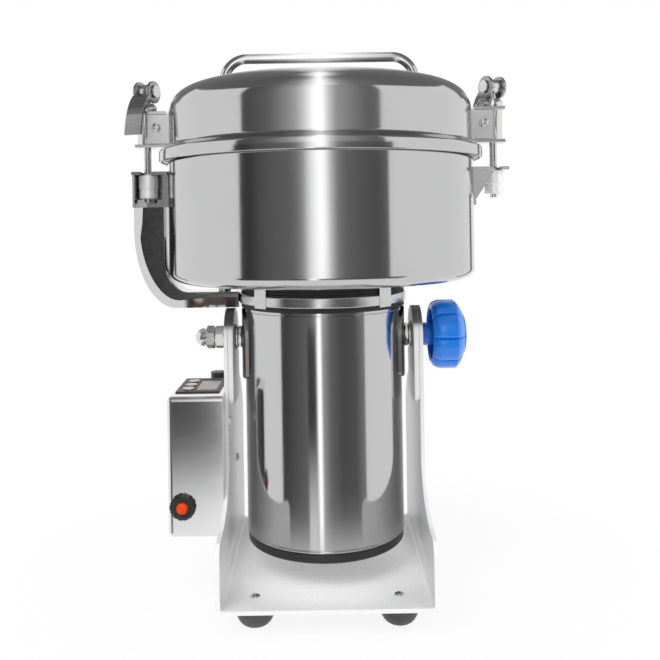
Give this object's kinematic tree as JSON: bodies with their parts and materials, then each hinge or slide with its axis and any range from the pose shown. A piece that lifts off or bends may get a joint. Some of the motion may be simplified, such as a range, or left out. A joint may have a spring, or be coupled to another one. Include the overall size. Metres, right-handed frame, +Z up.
{
  "type": "electric grain mill",
  "caption": "Tilting electric grain mill: steel bowl and latched lid on a motor held in a sheet stand, with a star clamp knob and a side control box.",
  "frame": {"origin": "on the floor under the motor axis, at the bottom centre of the bounding box", "axes": "+Z up along the motor axis, +X to the clamp knob's side, +Y to the rear"},
  "size_m": [0.3009, 0.254, 0.4215],
  "materials": {
    "brushed_stand": "fine bead-blasted silver sheet",
    "polished_steel": "mirror-polished stainless steel",
    "brushed_steel": "brushed stainless steel",
    "plated_steel": "bright nickel or zinc plating",
    "dark_steel": "dark phosphated steel",
    "cast_chrome": "polished cast arm",
    "black_rubber": "matt black rubber",
    "black_plastic": "matt black plastic",
    "blue_plastic": "glossy bright blue plastic",
    "box_steel": "brushed steel sheet",
    "panel_film": "dark membrane with a grey frame",
    "display_glass": "tinted display window",
    "white_key": "white key caps",
    "red_button": "orange-red plastic",
    "silicone": "pale silicone",
    "lamination": "stacked electrical steel",
    "copper": "enamelled copper wire",
    "carbon": "carbon brush in a black holder",
    "cast_aluminium": "as-cast aluminium",
    "circuit_board": "green circuit board"
  },
  "bodies": {
    "stand": {"stand_frame": "brushed_stand", "pivot_plates": "dark_steel", "rubber_feet": "black_rubber", "foot_screws": "plated_steel", "control_housing": "box_steel", "control_back": "box_steel", "box_screws": "plated_steel", "control_panel": "panel_film", "display_window": "display_glass", "breaker_body": "black_plastic", "breaker_collar": "black_plastic", "cable_gland": "black_plastic", "control_board": "circuit_board"},
    "tilt_head": {"pivot_bolt": "plated_steel", "acorn_nut": "plated_steel", "pivot_nuts": "plated_steel", "pivot_washers": "plated_steel", "motor_housing": "polished_steel", "motor_end_cap": "black_plastic", "pivot_lugs": "dark_steel", "stator_core": "lamination", "stator_windings": "copper", "motor_bearings": "plated_steel", "end_bell": "cast_aluminium", "carbon_brushes": "carbon", "mounting_ring": "black_rubber", "collar_band": "brushed_stand", "vent_ring": "black_rubber", "bowl": "polished_steel", "shaft_seal": "black_rubber", "interlock_arm": "cast_chrome", "arm_screws": "plated_steel", "bowl_catch": "brushed_steel", "barrel_nuts": "plated_steel"},
    "rotor": {"motor_shaft": "plated_steel", "rotor_core": "lamination", "commutator": "copper", "cooling_fan": "black_plastic", "lower_blade": "brushed_steel", "upper_blade": "brushed_steel", "blade_spacer": "plated_steel", "blade_nut": "plated_steel"},
    "knob": {"clamp_knob": "blue_plastic", "knob_stud": "plated_steel"},
    "lid_group": {"lid": "polished_steel", "lid_gasket": "silicone", "handle": "polished_steel", "latch_ears": "brushed_steel", "ear_screws": "plated_steel", "latch_trunnions": "plated_steel", "latch_saddles": "plated_steel", "latch_rods": "plated_steel", "lever_pins": "plated_steel"},
    "left_lever": {"lever_left": "cast_chrome"},
    "right_lever": {"lever_right": "cast_chrome"},
    "button_1": {"panel_button_1": "white_key"},
    "button_2": {"panel_button_2": "white_key"},
    "button_3": {"panel_button_3": "white_key"},
    "reset": {"reset_button": "red_button"}
  },
  "joints": [
    {"name": "tilt", "type": "hinge", "parent": "stand", "child": "tilt_head", "pos_m": [0, 0, 0.196], "axis": [1, 0, 0], "range_deg": [-50, 90]},
    {"name": "knob_turn", "type": "hinge", "parent": "tilt_head", "child": "knob", "pos_m": [0.09, 0, 0.196], "axis": [1, 0, 0], "continuous": true},
    {"name": "blade_spin", "type": "hinge", "parent": "tilt_head", "child": "rotor", "pos_m": [0, 0, 0.2], "axis": [0, 0, 1], "continuous": true},
    {"name": "lid_lift", "type": "slide", "parent": "tilt_head", "child": "lid_group", "axis": [0, 0, 1], "range_m": [0, 0.15]},
    {"name": "lever_left_open", "type": "hinge", "parent": "lid_group", "child": "left_lever", "pos_m": [-0.138, 0, 0.3923], "axis": [-0.9397, 0.342, 0], "range_deg": [0, 120]},
    {"name": "lever_right_open", "type": "hinge", "parent": "lid_group", "child": "right_lever", "pos_m": [0.138, 0, 0.3923], "axis": [0.9063, 0.4226, 0], "range_deg": [0, 120]},
    {"name": "button_1_press", "type": "slide", "parent": "stand", "child": "button_1", "axis": [0, 0, -1], "range_m": [0, 0.0006], "stiffness_N_per_m": 600},
    {"name": "button_2_press", "type": "slide", "parent": "stand", "child": "button_2", "axis": [0, 0, -1], "range_m": [0, 0.0006], "stiffness_N_per_m": 600},
    {"name": "button_3_press", "type": "slide", "parent": "stand", "child": "button_3", "axis": [0, 0, -1], "range_m": [0, 0.0006], "stiffness_N_per_m": 600},
    {"name": "reset_press", "type": "slide", "parent": "stand", "child": "reset", "axis": [0, 1, 0], "range_m": [0, 0.002], "stiffness_N_per_m": 1500}
  ]
}
